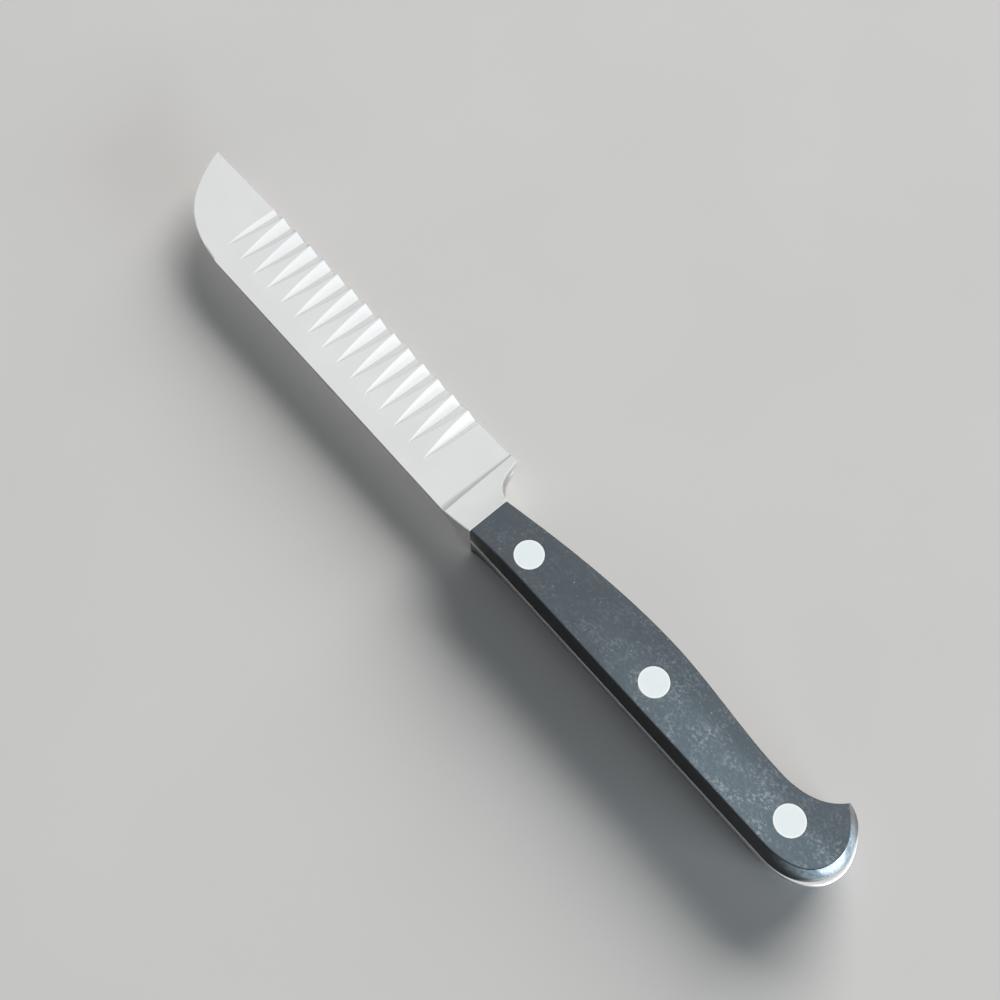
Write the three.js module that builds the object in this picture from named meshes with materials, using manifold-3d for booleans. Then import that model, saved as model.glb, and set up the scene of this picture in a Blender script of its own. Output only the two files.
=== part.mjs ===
// Decorating knife: a forged blade with bolster and full tang in one piece, two handle scales, and
// three two-part cutler's rivets. It lies on its left side, as it would lie on a table.
// Drawn in millimetres: +X runs to the tip, +Y to the spine, +Z up through the right-hand side.
// While it is drawn, x = 0 is the seam between bolster and scales, y = 0 is the fluted edge and
// z = 0 is the middle of the steel. The last lines set the origin under the middle of the knife.
import * as THREE from 'three';
import { mergeVertices } from 'three/addons/utils/BufferGeometryUtils.js';
import Module from 'manifold-3d';

const wasm = await Module();
wasm.setup();

// Blade
const bladeWidth = 19.3;
const bladeThickness = 2.0;
const edgeThickness = 0.35;
const heelFlat = 11.8; // from the crease at the bolster to the last flute
const heelDrop = 0.42; // how far the edge curves out from the tip to the heel
const tipFlat = 23.9; // from the first flute to the tip
const noseLength = 29.8; // stretch over which the spine curves down to the tip
const noseFullness = 16.0; // how far the nose holds the spine's direction
const tipRise = 14.0; // how far the nose holds the tip's direction, upwards
const tipLean = 5.4; // and backwards

// Flutes: V-grooves square to the edge, which make it wavy
const flutePitch = 5.2;
const fluteCount = 15; // on the right-hand face, and one fewer between them on the left
const fluteLength = 15.0; // from the edge to the flute's point
const fluteArc = 0.6; // 0 is a straight run-out of the groove, more is rounder
const ridgeFlat = 0.2; // width of the ridge that two flutes leave at the edge

// Bolster
const bolsterLength = 9.3; // from the seam to the crease, on the blade's flank
const rampHollow = 0.7; // how far the ramp from handle to blade is hollowed
const heelWidth = 2.3; // from the crease back to the heel's corner
const guardLeave = new THREE.Vector2(2.6, 4.0); // the finger guard's curve leaves the heel this way
const guardMeet = new THREE.Vector2(4.25, 1.0); // and meets the neck coming from this way

// Handle
const handleThickness = 13.0;
const tangThickness = 2.2;
const neckHeight = 10.85; // handle height at the bolster
const neckSlope = new THREE.Vector2(13.0, 2.55); // direction of the belly there
const swellHeight = 16.4; // handle height at its fullest
const swellAhead = 3.5; // fullest point, ahead of the middle of the rivets
const swellHold = 16.0; // length over which the belly stays nearly level
const waistHeight = 14.1; // handle height in front of the beak
const waistSetback = 21.2; // from the butt to the waist
const beakDrop = 1.3; // how far the beak hangs below the line of the cutting edge
const beakSetback = 8.6; // from the butt to the beak
const beakHook = new THREE.Vector2(2.0, 3.2); // direction of the hook's curve at the beak
const beakBack = new THREE.Vector2(5.8, 1.0); // direction of the butt's curve at the beak
const buttCrown = 9.9; // rearmost point of the butt, under the spine
const buttRound = 12.5; // from the butt to where the spine starts to round
const buttHold = 6.9; // how far the butt stays upright, towards the spine
const buttDrop = 3.3; // and towards the beak

// How far the handle's outline draws in between the tang and the outer face
const seamTuck = 0.1; // spine, at the seam
const spineTuck = 1.0; // spine, behind the shoulder
const shoulderLength = 15.0; // over which the spine goes from the one to the other
const neckTuck = 0.6; // belly, at the seam
const swellTuck = 1.0; // belly, at its fullest
const waistTuck = 1.0; // belly, in front of the beak
const cornerTuck = 3.0; // start of the round corner between spine and butt
const buttTuck = 3.6;
const buttReveal = 1.5; // how far the tang stands proud of the scales at the butt
const buttWall = 0.68; // share of a scale's height that stands upright at the butt, under its bevel
const beakTuck = new THREE.Vector2(0.5, 1.9);
const beakBackTuck = new THREE.Vector2(-2.0, 2.3);
const heelTuck = new THREE.Vector2(1.5, 2.3);
const guardLeaveTuck = new THREE.Vector2(-1.4, 1.2);
const guardMeetTuck = new THREE.Vector2(-0.35, 0.65);

// Rivets: a head with a tube on the right, a head with a pin on the left
const rivetCount = 3;
const firstRivet = 12.1; // from the seam to the first rivet
const rivetSpacing = 36.4;
const buttOverhang = 14.3; // from the last rivet to the butt
const frontRivetDrop = 5.9; // first rivet, under the spine
const rearRivetDrop = 7.8; // last rivet, under the spine
const rivetHead = 6.6;
const rivetHeadThickness = 1.6;
const tubeDiameter = 4.2;
const pinDiameter = 2.2;
const boreFloor = 1.2; // metal between the tube's bore and the outer face of its head
const headClearance = 0.08; // around a head in its counterbore
const tubeClearance = 0.12; // around the tube in its holes
const pinClearance = 0.1; // around the pin in the tube
const endClearance = 0.3; // at the ends of tube and pin

// Facets
const curveSteps = 10;
const fluteSteps = 5;
const roundSides = 28;
const overcut = 1.0; // how far a cutter reaches past what it cuts
const weldDistance = 1e-5;

// Finishes
const satinSteel = { color: 0xd9dddc, roughness: 0.32, metalness: 1.0 };
const blackPlastic = { color: 0x25292d, roughness: 0.45, metalness: 0.0 };
const brightRivet = { color: 0xe5ebea, roughness: 0.28, metalness: 1.0 };

// Places that follow from the sizes
const halfBlade = bladeThickness / 2;
const halfTang = tangThickness / 2;
const halfHandle = handleThickness / 2;
const lastRivet = firstRivet + (rivetCount - 1) * rivetSpacing;
const handleLength = lastRivet + buttOverhang;
const lastFlute = bolsterLength + heelFlat;
const firstFlute = lastFlute + (fluteCount - 1) * flutePitch;
const tipPlace = firstFlute + tipFlat;
const fluteDepth = bladeThickness - edgeThickness;
const fluteSteepness = (2 * fluteDepth) / (flutePitch - ridgeFlat);
const grindDepth = fluteDepth / 2;
const headSeat = halfHandle - rivetHeadThickness;
const heelCorner = bolsterLength - heelWidth;

const underSpine = (height) => bladeWidth - height;
const aheadOfButt = (distance) => distance - handleLength;

// Closed triangles to a solid, without the triangles that shrink to nothing
function solidFrom(geometry) {
  const bare = geometry.clone();
  bare.deleteAttribute('normal');
  bare.deleteAttribute('uv');
  const welded = mergeVertices(bare, weldDistance);
  const corners = welded.getIndex().array;
  const kept = [];
  for (let first = 0; first < corners.length; first += 3) {
    const [a, b, c] = corners.slice(first, first + 3);
    if (a !== b && b !== c && c !== a) kept.push(a, b, c);
  }
  return new wasm.Manifold(new wasm.Mesh({
    numProp: 3,
    vertProperties: welded.getAttribute('position').array,
    triVerts: new Uint32Array(kept),
  }));
}

function meshFrom(name, solid, finish) {
  const { vertProperties, triVerts } = solid.getMesh();
  const geometry = new THREE.BufferGeometry();
  geometry.setAttribute('position', new THREE.Float32BufferAttribute(vertProperties, 3));
  geometry.setIndex(new THREE.Uint32BufferAttribute(triVerts, 1));
  geometry.computeVertexNormals();
  const mesh = new THREE.Mesh(geometry, new THREE.MeshStandardMaterial(finish));
  mesh.name = name;
  return mesh;
}

// Skin over a stack of outlines with as many points each, every one at its own height
function loft(layers) {
  const count = layers[0].points.length;
  const positions = [];
  const triangles = [];
  for (const { points, height } of layers) {
    for (const point of points) positions.push(point.x, point.y, height);
  }
  for (let layer = 0; layer + 1 < layers.length; layer += 1) {
    for (let corner = 0; corner < count; corner += 1) {
      const low = layer * count + corner;
      const lowNext = layer * count + ((corner + 1) % count);
      triangles.push(low, lowNext, lowNext + count);
      triangles.push(low, lowNext + count, low + count);
    }
  }
  const top = (layers.length - 1) * count;
  for (const [a, b, c] of THREE.ShapeUtils.triangulateShape(layers[0].points, [])) {
    triangles.push(c, b, a);
  }
  for (const [a, b, c] of THREE.ShapeUtils.triangulateShape(layers.at(-1).points, [])) {
    triangles.push(top + a, top + b, top + c);
  }
  const geometry = new THREE.BufferGeometry();
  geometry.setAttribute('position', new THREE.Float32BufferAttribute(positions, 3));
  geometry.setIndex(triangles);
  return geometry;
}

// The same stack built along y: an outline's points are x and z
function loftAlongY(layers) {
  const turned = layers.map(({ points, height }) => {
    const flat = points.map(([x, z]) => new THREE.Vector2(x, -z));
    return { points: THREE.ShapeUtils.isClockWise(flat) ? flat.reverse() : flat, height };
  });
  return loft(turned).rotateX(-Math.PI / 2);
}

// Mirror image on the other side of the steel
function mirrored(geometry) {
  const flipped = geometry.clone().scale(1, 1, -1);
  flipped.setIndex(Array.from(geometry.getIndex().array).reverse());
  return flipped;
}

function outlinePoints(shape) {
  const points = shape.extractPoints(curveSteps).shape;
  return THREE.ShapeUtils.isClockWise(points) ? points.reverse() : points;
}

function uprightCylinder(diameter, fromZ, toZ) {
  const geometry = new THREE.CylinderGeometry(diameter / 2, diameter / 2, toZ - fromZ, roundSides);
  return geometry.rotateX(Math.PI / 2).translate(0, 0, (fromZ + toZ) / 2);
}

// Handle in plan. Level 0 is the outline at the tang, level 1 at the outer face of a scale. The butt
// has a way of its own to draw in.
function handleOutline(level, buttIn, frontX) {
  const spine = bladeWidth - level * spineTuck;
  const seamSpine = bladeWidth - level * seamTuck;
  const roundX = aheadOfButt(buttRound) + level * cornerTuck;
  const butt = aheadOfButt(buttIn);
  const crown = underSpine(buttCrown);
  const beakX = aheadOfButt(beakSetback) + level * beakTuck.x;
  const beakY = level * beakTuck.y - beakDrop;
  const waistX = aheadOfButt(waistSetback);
  const waistY = underSpine(waistHeight) + level * waistTuck;
  const swellX = swellAhead - (firstRivet + lastRivet) / 2;
  const swellY = underSpine(swellHeight) + level * swellTuck;
  const neckY = underSpine(neckHeight) + level * neckTuck;
  const backX = beakX - beakBack.x - level * beakBackTuck.x;
  const backY = beakY + beakBack.y + level * beakBackTuck.y;
  const hookHold = (waistX - beakX) / 2;
  const waistHold = (swellX - waistX) / 3;

  const outline = new THREE.Shape();
  outline.moveTo(frontX, seamSpine);
  outline.lineTo(0, seamSpine);
  outline.quadraticCurveTo(-shoulderLength / 2, spine, -shoulderLength, spine);
  outline.lineTo(roundX, spine);
  outline.bezierCurveTo((roundX + butt) / 2, spine, butt, crown + buttHold, butt, crown);
  outline.bezierCurveTo(butt, crown - buttDrop, backX, backY, beakX, beakY);
  outline.bezierCurveTo(beakX + beakHook.x, beakY + beakHook.y, waistX - hookHold, waistY, waistX, waistY);
  outline.bezierCurveTo(waistX + waistHold, waistY, swellX - waistHold, swellY, swellX, swellY);
  outline.bezierCurveTo(swellX + swellHold, swellY, -neckSlope.x, neckY - neckSlope.y, 0, neckY);
  outline.lineTo(frontX, neckY);
  return outlinePoints(outline);
}

// Bolster in plan at the same levels, with the finger guard on its edge side
function bolsterOutline(level, frontX) {
  const seamSpine = bladeWidth - level * seamTuck;
  const neckY = underSpine(neckHeight) + level * neckTuck;
  const heelX = heelCorner + level * heelTuck.x;
  const heelY = level * heelTuck.y - heelDrop;
  const meetX = guardMeet.x + level * guardMeetTuck.x;
  const meetY = neckY - guardMeet.y - level * guardMeetTuck.y;
  const leaveX = heelX - guardLeave.x - level * guardLeaveTuck.x;
  const leaveY = heelY + guardLeave.y + level * guardLeaveTuck.y;

  const outline = new THREE.Shape();
  outline.moveTo(0, seamSpine);
  outline.lineTo(0, neckY);
  outline.bezierCurveTo(meetX, meetY, leaveX, leaveY, heelX, heelY);
  outline.lineTo(frontX, heelY);
  outline.lineTo(frontX, seamSpine);
  return outlinePoints(outline);
}

// Blade before it is ground: a plate that starts inside the bolster
function bladeBlank() {
  const backX = (heelCorner + bolsterLength) / 2;
  const noseX = tipPlace - noseLength;
  const edgeThird = (tipPlace - bolsterLength) / 3;
  const outline = new THREE.Shape();
  outline.moveTo(backX, -heelDrop);
  outline.lineTo(bolsterLength, -heelDrop);
  outline.bezierCurveTo(bolsterLength + edgeThird, -heelDrop, tipPlace - edgeThird, -heelDrop, tipPlace, 0);
  outline.bezierCurveTo(tipPlace - tipLean, tipRise, noseX + noseFullness, bladeWidth, noseX, bladeWidth);
  outline.lineTo(backX, bladeWidth);
  const points = outlinePoints(outline);
  return solidFrom(loft([{ points, height: -halfBlade }, { points, height: halfBlade }]));
}

// Share of a flute's full depth that is left at a distance from the edge
function fluteShare(fromEdge) {
  const run = fromEdge / fluteLength;
  return (1 - run) * (1 + fluteArc * run);
}

// Depth of the flat grind of tip and heel at a distance from the edge
function flatGrind(fromEdge) {
  return grindDepth * (1 - fromEdge / fluteLength);
}

// Distances from the edge at which the grinding cutters have a section, the first one outside
function grindStations() {
  const stations = [-overcut];
  for (let step = 0; step <= fluteSteps; step += 1) stations.push((fluteLength * step) / fluteSteps);
  return stations;
}

// One flute in the right-hand face
function fluteCutter(place) {
  const layers = grindStations().map((fromEdge) => {
    const depth = fluteDepth * fluteShare(fromEdge);
    const half = (depth + overcut) / fluteSteepness;
    const rim = halfBlade + overcut;
    const points = [[place - half, rim], [place + half, rim], [place, halfBlade - depth]];
    return { points, height: fromEdge };
  });
  return loftAlongY(layers);
}

// Flat grind that thins the right-hand face to the edge, from farX to where a flute takes over.
// nearX gives that end from the distance to the edge and the depth under the face.
function grindCutter(farX, nearX) {
  const layers = grindStations().map((fromEdge) => {
    const depth = flatGrind(fromEdge);
    const rim = halfBlade + overcut;
    const points = [
      [farX, rim],
      [nearX(fromEdge, -overcut), rim],
      [nearX(fromEdge, depth), halfBlade - depth],
      [farX, halfBlade - depth],
    ];
    return { points, height: fromEdge };
  });
  return loftAlongY(layers);
}

// On the right the flats at tip and heel end in the outer flutes. On the left they end in the flank
// of the ridge that backs each outer flute.
function groundBlade() {
  const pastTip = tipPlace + overcut;
  const insideBolster = heelCorner - overcut;
  const flank = (fromEdge, depth) => (fluteDepth * fluteShare(fromEdge) - depth) / fluteSteepness;
  const tipRidge = firstFlute + flutePitch / 2;
  const heelRidge = lastFlute - flutePitch / 2;
  let blade = bladeBlank();
  const cut = (geometry) => {
    blade = blade.subtract(solidFrom(geometry));
  };
  for (let flute = 0; flute < fluteCount; flute += 1) cut(fluteCutter(lastFlute + flute * flutePitch));
  for (let flute = 1; flute < fluteCount; flute += 1) {
    cut(mirrored(fluteCutter(lastFlute + (flute - 0.5) * flutePitch)));
  }
  cut(grindCutter(pastTip, () => firstFlute));
  cut(grindCutter(insideBolster, () => lastFlute));
  cut(mirrored(grindCutter(pastTip, (fromEdge, depth) => tipRidge - flank(fromEdge, depth))));
  cut(mirrored(grindCutter(insideBolster, (fromEdge, depth) => heelRidge + flank(fromEdge, depth))));
  return blade;
}

// Side view of the bolster at a distance from the edge: on both faces a hollow ramp ends at the crease,
// on the ground flank, and runs straight on from there until it is inside the blade
function rampSection(fromEdge) {
  const flank = halfBlade - Math.max(flatGrind(fromEdge), 0);
  const endZ = edgeThickness / 4;
  const ramp = new THREE.QuadraticBezierCurve(
    new THREE.Vector2(0, halfHandle),
    new THREE.Vector2(bolsterLength / 2, (halfHandle + halfBlade) / 2 - rampHollow),
    new THREE.Vector2(bolsterLength, flank),
  );
  const fall = ramp.getTangent(1);
  const upper = ramp.getPoints(curveSteps).map(({ x, y }) => [x, y]);
  upper.push([bolsterLength + ((flank - endZ) * fall.x) / -fall.y, endZ]);
  const lower = upper.map(([x, z]) => [x, -z]).reverse();
  return { points: [...upper, ...lower], height: fromEdge };
}

function bolster() {
  const sections = [...grindStations(), bladeWidth + overcut].map(rampSection);
  const frontX = overcut + Math.max(...sections.flatMap(({ points }) => points.map(([x]) => x)));
  const body = loft([
    { points: bolsterOutline(1, frontX), height: -halfHandle },
    { points: bolsterOutline(0, frontX), height: -halfTang },
    { points: bolsterOutline(0, frontX), height: halfTang },
    { points: bolsterOutline(1, frontX), height: halfHandle },
  ]);
  return solidFrom(body).intersect(solidFrom(loftAlongY(sections)));
}

// Rivet centres from the bolster to the butt
function rivetPlaces() {
  const places = [];
  for (let rivet = 0; rivet < rivetCount; rivet += 1) {
    const along = rivet / (rivetCount - 1);
    const drop = THREE.MathUtils.lerp(frontRivetDrop, rearRivetDrop, along);
    places.push(new THREE.Vector2(-firstRivet - rivet * rivetSpacing, underSpine(drop)));
  }
  return places;
}

function tang() {
  const points = handleOutline(0, 0, bolsterLength / 4);
  let plate = solidFrom(loft([{ points, height: -halfTang }, { points, height: halfTang }]));
  const hole = tubeDiameter + 2 * tubeClearance;
  for (const { x, y } of rivetPlaces()) {
    const drill = uprightCylinder(hole, -halfTang - overcut, halfTang + overcut);
    plate = plate.subtract(solidFrom(drill.translate(x, y, 0)));
  }
  return plate;
}

function rightScale() {
  const layer = (level, buttIn) => ({
    points: handleOutline(level, buttIn, 0),
    height: THREE.MathUtils.lerp(halfTang, halfHandle, level),
  });
  let scale = solidFrom(loft([layer(0, buttReveal), layer(buttWall, buttReveal), layer(1, buttTuck)]));
  for (const { x, y } of rivetPlaces()) {
    const hole = uprightCylinder(tubeDiameter + 2 * tubeClearance, halfTang - overcut, headSeat + overcut);
    const seat = uprightCylinder(rivetHead + 2 * headClearance, headSeat, halfHandle + overcut);
    scale = scale.subtract(solidFrom(hole.translate(x, y, 0)));
    scale = scale.subtract(solidFrom(seat.translate(x, y, 0)));
  }
  return scale;
}

function turned(profile) {
  const points = profile.map(([radius, z]) => new THREE.Vector2(radius, z));
  return solidFrom(new THREE.LatheGeometry(points, roundSides).rotateX(Math.PI / 2));
}

function tubeHalf() {
  const bore = pinDiameter / 2 + pinClearance;
  const end = endClearance - headSeat;
  return turned([
    [0, halfHandle - boreFloor],
    [bore, halfHandle - boreFloor],
    [bore, end],
    [tubeDiameter / 2, end],
    [tubeDiameter / 2, headSeat],
    [rivetHead / 2, headSeat],
    [rivetHead / 2, halfHandle],
    [0, halfHandle],
  ]);
}

function pinHalf() {
  const end = halfHandle - boreFloor - endClearance;
  return turned([
    [0, -halfHandle],
    [rivetHead / 2, -halfHandle],
    [rivetHead / 2, -headSeat],
    [pinDiameter / 2, -headSeat],
    [pinDiameter / 2, end],
    [0, end],
  ]);
}

// Assembly
const knife = new THREE.Group();
knife.add(meshFrom('forged_blade', groundBlade().add(bolster()).add(tang()), satinSteel));

const scaleMesh = meshFrom('right_scale', rightScale(), blackPlastic);
const otherScale = meshFrom('left_scale', solidFrom(mirrored(scaleMesh.geometry)), blackPlastic);
knife.add(scaleMesh, otherScale);

const rivetNames = ['front', 'middle', 'rear'];
rivetPlaces().forEach(({ x, y }, rivet) => {
  const tube = meshFrom(`${rivetNames[rivet]}_rivet_tube`, tubeHalf(), brightRivet);
  const pin = meshFrom(`${rivetNames[rivet]}_rivet_pin`, pinHalf(), brightRivet);
  const set = new THREE.Group();
  set.position.set(x, y, 0);
  set.add(tube, pin);
  knife.add(set);
});

const box = new THREE.Box3().setFromObject(knife);
const middle = box.getCenter(new THREE.Vector3());
knife.position.set(-middle.x, -middle.y, -box.min.z);

export default knife;
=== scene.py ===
import math

import bmesh
import bpy
from mathutils import Matrix, Vector
from mathutils.geometry import delaunay_2d_cdt


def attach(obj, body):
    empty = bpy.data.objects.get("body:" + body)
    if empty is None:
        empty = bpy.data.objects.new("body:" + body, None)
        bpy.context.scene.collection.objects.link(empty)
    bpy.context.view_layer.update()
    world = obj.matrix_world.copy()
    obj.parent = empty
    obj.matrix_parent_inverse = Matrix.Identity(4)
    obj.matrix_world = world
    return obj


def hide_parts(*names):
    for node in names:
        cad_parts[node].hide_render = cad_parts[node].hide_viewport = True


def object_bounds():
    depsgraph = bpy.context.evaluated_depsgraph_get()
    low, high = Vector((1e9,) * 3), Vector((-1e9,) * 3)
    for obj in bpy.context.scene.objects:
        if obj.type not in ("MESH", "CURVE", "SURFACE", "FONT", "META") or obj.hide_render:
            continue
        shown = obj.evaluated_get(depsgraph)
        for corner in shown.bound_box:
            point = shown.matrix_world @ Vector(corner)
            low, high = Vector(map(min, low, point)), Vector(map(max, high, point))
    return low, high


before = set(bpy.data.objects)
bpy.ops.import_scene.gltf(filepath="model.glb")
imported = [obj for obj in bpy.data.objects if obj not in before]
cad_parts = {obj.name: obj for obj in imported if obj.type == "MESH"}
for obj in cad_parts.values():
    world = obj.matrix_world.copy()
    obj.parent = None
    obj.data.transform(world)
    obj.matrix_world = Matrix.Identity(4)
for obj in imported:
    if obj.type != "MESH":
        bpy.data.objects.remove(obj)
cad_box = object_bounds()

# Sizes in millimetres. While a piece is drawn, x = 0 is the seam between bolster and scales, y = 0 is
# the edge at the tip and z = 0 is the middle of the steel, with +X to the tip and +Y to the spine.
MM = 0.001

# Blade
BLADE_WIDTH = 19.3
HALF_BLADE = 1.0
EDGE_THICKNESS = 0.35
HEEL_FLAT = 11.8
HEEL_DROP = 0.42  # how far the edge curves out from the tip to the heel
TIP_FLAT = 23.9
NOSE_LENGTH = 29.8
NOSE_FULLNESS = 16.0
TIP_RISE = 14.0
TIP_LEAN = 5.4
HONE = 0.18  # width of the honed bevel along the edge
HONE_START = 1.5  # the honed bevel widens over this stretch in front of the bolster
SPINE_CHAMFER = 0.2
RIM_CHAMFER = 0.3  # largest share of the height that the chamfer of the nose takes up
# painted shade on the walls of the spine and the nose
SPINE_WALL_SHADE = 0.3
HIGHLIGHT_RIM_SHARE = 0.06  # share of the spine's wall on either side that the painted highlight along its rim takes up

# Flutes
FLUTE_PITCH = 5.2
FLUTE_COUNT = 15
FLUTE_LENGTH = 15.0
FLUTE_ARC = 0.6
RIDGE_FLAT = 0.2
VALLEY_LINE = 0.35  # half width of the painted shade line along a valley
VALLEY_FADE = 0.4  # depth under which that line fades
# painted shade along the valleys
VALLEY_SHADE = 0.2
FLANK_HIGHLIGHT = 1.0  # how strong the painted highlight is on the flank towards the heel beside that line

# Bolster
BOLSTER_LENGTH = 9.3
RAMP_HOLLOW = 0.7
HEEL_WIDTH = 2.3
SEAM_CHAMFER = 0.2
CREASE_STEP = 0.1  # how far above the blade the ramp ends
CREASE_START = (9.25, 8.45)  # where the ramp ends in a hollow, at the edge and at the spine
CREASE_WIDTH = (0.6, 1.8)  # width of that hollow, at the edge and at the spine
CREASE_LIP = 0.05
# how much darker the crease is where its hollow starts
CREASE_DARKENING = 1.0
# painted shade on the tang's edge, and on its rounded rim at the butt
TANG_EDGE_SHADE = 0.5
BUTT_RIM_SHADE = 0.4
GUARD_ROUND = 0.18
GUARD_ROUND_SHARE = 0.35  # largest share of the height that this rounding takes up
# painted shade on the finger guard's leaning walls
GUARD_WALL_SHADE = 0.6
GUARD_FLARE = 0.7
GUARD_LEAVE = Vector((2.6, 4.0))
GUARD_MEET = Vector((4.25, 1.0))
GUARD_LEAVE_TUCK = Vector((-1.4, 1.2))
GUARD_MEET_TUCK = Vector((-0.35, 0.65))
HEEL_TUCK = Vector((1.5, 2.3))

# Handle
HALF_HANDLE = 6.5
HALF_TANG = 1.1
NECK_HEIGHT = 10.85
NECK_SLOPE = Vector((13.0, 2.55))
SWELL_HEIGHT = 16.4
SWELL_AHEAD = 3.5
SWELL_HOLD = 16.0
WAIST_HEIGHT = 14.1
WAIST_SETBACK = 21.2
BEAK_DROP = 1.3
BEAK_SETBACK = 8.6
BEAK_HOOK = Vector((2.0, 3.2))
BEAK_BACK = Vector((5.8, 1.0))
BUTT_CROWN = 9.9
BUTT_ROUND = 12.5
BUTT_HOLD = 6.9
BUTT_DROP = 3.3
SEAM_TUCK = 0.1
SPINE_TUCK = 1.0
SHOULDER_LENGTH = 15.0
NECK_TUCK = 0.6
SWELL_TUCK = 1.0
WAIST_TUCK = 1.0
CORNER_TUCK = 3.0
BUTT_TUCK = 3.6
BUTT_REVEAL = 1.5
BUTT_WALL = 0.68
BUTT_CURVE = 1.1  # how rounded the bevel over that wall is
BUTT_FADE = 3  # how fast the bevel's painted reflection fades down that wall
BEAK_TUCK = Vector((0.5, 1.9))
BEAK_BACK_TUCK = Vector((-2.0, 2.3))

# Edges of the handle
SEAM_GAP = 0.04  # hairline between bolster and scale
SPINE_ROUND = 0.3
SHOULDER_ROUND = 0.4
BELLY_ROUND = 0.6
NECK_ROUND = 0.35
NECK_RUN = 6.0  # the belly's rounding grows over this stretch behind the seam
BUTT_EDGE_ROUND = 0.1
SCALE_FOOT = 0.1  # chamfer of a scale along the tang
TANG_ROUND = 0.1
TANG_BUTT_ROUND = 0.9
FLAT_MARGIN = 0.12
BUTT_ONSET = 1.5  # how soon the outline's rounding sets in at either end of the butt
BUTT_STRETCHES = (2, 4)  # the outline's stretches before the butt, and those up to the beak

# Rivets
RIVET_COUNT = 3
FIRST_RIVET = 12.1
RIVET_SPACING = 36.4
BUTT_OVERHANG = 14.3
FRONT_RIVET_DROP = 5.9
REAR_RIVET_DROP = 7.8
RIVET_HEAD = 6.6
RIVET_HEAD_THICKNESS = 1.6
RIVET_ROUND = 0.16
RIVET_RING = 0.34  # width of the painted highlight ring along the rim
TUBE_DIAMETER = 4.2
PIN_DIAMETER = 2.2
BORE_FLOOR = 1.2
HEAD_CLEARANCE = 0.04
TUBE_CLEARANCE = 0.12
PIN_CLEARANCE = 0.1
END_CLEARANCE = 0.3

# Tones of the steel's and the plastic's points: -1 is a painted highlight, or on the plastic's bevel a
# painted reflection
PAINTED_HIGHLIGHT = -1.0
PLAIN = 0.0
OUTER_FACE = 1.0

# Fineness of the meshes
SAME_PLACE = 1e-6
PLACE_DIGITS = 4
HALVINGS = 40  # rounds of the search for a place on a curve
SETTLE_ROUNDS = 4
TANGENT_STEP = 1e-3
FLAT_TOLERANCE = 1e-5
HOLE_SHARE = 0.98  # triangles nearer to a hole's middle than this share of its radius are left out
WELD_DISTANCE = 2e-7  # metres
SLIVER_DISTANCE = 1e-8  # metres
FLUTE_ROWS = 26
UPPER_ROWS = 6
RAMP_COLUMNS = 26
CREASE_COLUMNS = 8
FLAT_COLUMNS = 12
CORNER_STEPS = 5
WALL_ROWS = 14
CURVE_STEPS = 26
CIRCLE_STEPS = 72
CRISP_ANGLE = math.radians(24)

# Places that follow from the sizes
LAST_RIVET = FIRST_RIVET + (RIVET_COUNT - 1) * RIVET_SPACING
HANDLE_LENGTH = LAST_RIVET + BUTT_OVERHANG
LAST_FLUTE = BOLSTER_LENGTH + HEEL_FLAT
FIRST_FLUTE = LAST_FLUTE + (FLUTE_COUNT - 1) * FLUTE_PITCH
TIP_PLACE = FIRST_FLUTE + TIP_FLAT
FLUTE_DEPTH = 2 * HALF_BLADE - EDGE_THICKNESS
FLUTE_STEEPNESS = 2 * FLUTE_DEPTH / (FLUTE_PITCH - RIDGE_FLAT)
GRIND_DEPTH = FLUTE_DEPTH / 2
HEAD_SEAT = HALF_HANDLE - RIVET_HEAD_THICKNESS
HEEL_CORNER = BOLSTER_LENGTH - HEEL_WIDTH
TIP_RIDGE = FIRST_FLUTE + FLUTE_PITCH / 2
HEEL_RIDGE = LAST_FLUTE - FLUTE_PITCH / 2
RIGHT_FLUTES = [LAST_FLUTE + FLUTE_PITCH * n for n in range(FLUTE_COUNT)]
LEFT_FLUTES = [place + FLUTE_PITCH / 2 for place in RIGHT_FLUTES[:-1]]
RAMP_HOLD = (HALF_HANDLE + HALF_BLADE) / 2 - RAMP_HOLLOW
SEAM_PLACE = Vector((
    cad_box[0].x + HANDLE_LENGTH * MM,
    cad_box[0].y + BEAK_DROP * MM,
    cad_box[0].z + HALF_HANDLE * MM,
))


def under_spine(height):
    return BLADE_WIDTH - height


def ahead_of_butt(distance):
    return distance - HANDLE_LENGTH


def mix(a, b, share):
    return a + (b - a) * share


def smooth(share):
    share = min(max(share, 0.0), 1.0)
    return share * share * (3 - 2 * share)


def spread(start, end, steps):
    """Evenly spaced numbers from start, without the end."""
    return [mix(start, end, n / steps) for n in range(steps)]


def bezier(corners, share):
    """Point of a Bezier curve at a share of its run."""
    points = [Vector(corner) for corner in corners]
    while len(points) > 1:
        points = [a.lerp(b, share) for a, b in zip(points, points[1:])]
    return points[0]


def share_at(corners, axis, value):
    """Share of a Bezier curve's run where x (axis 0) or y (axis 1), rising along it, has a value."""
    low, high = 0.0, 1.0
    for _ in range(HALVINGS):
        middle = (low + high) / 2
        if bezier(corners, middle)[axis] < value:
            low = middle
        else:
            high = middle
    return low


def curve(corners, steps):
    """Points along a Bezier curve, without its first one."""
    return [bezier(corners, (n + 1) / steps) for n in range(steps)]


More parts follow.
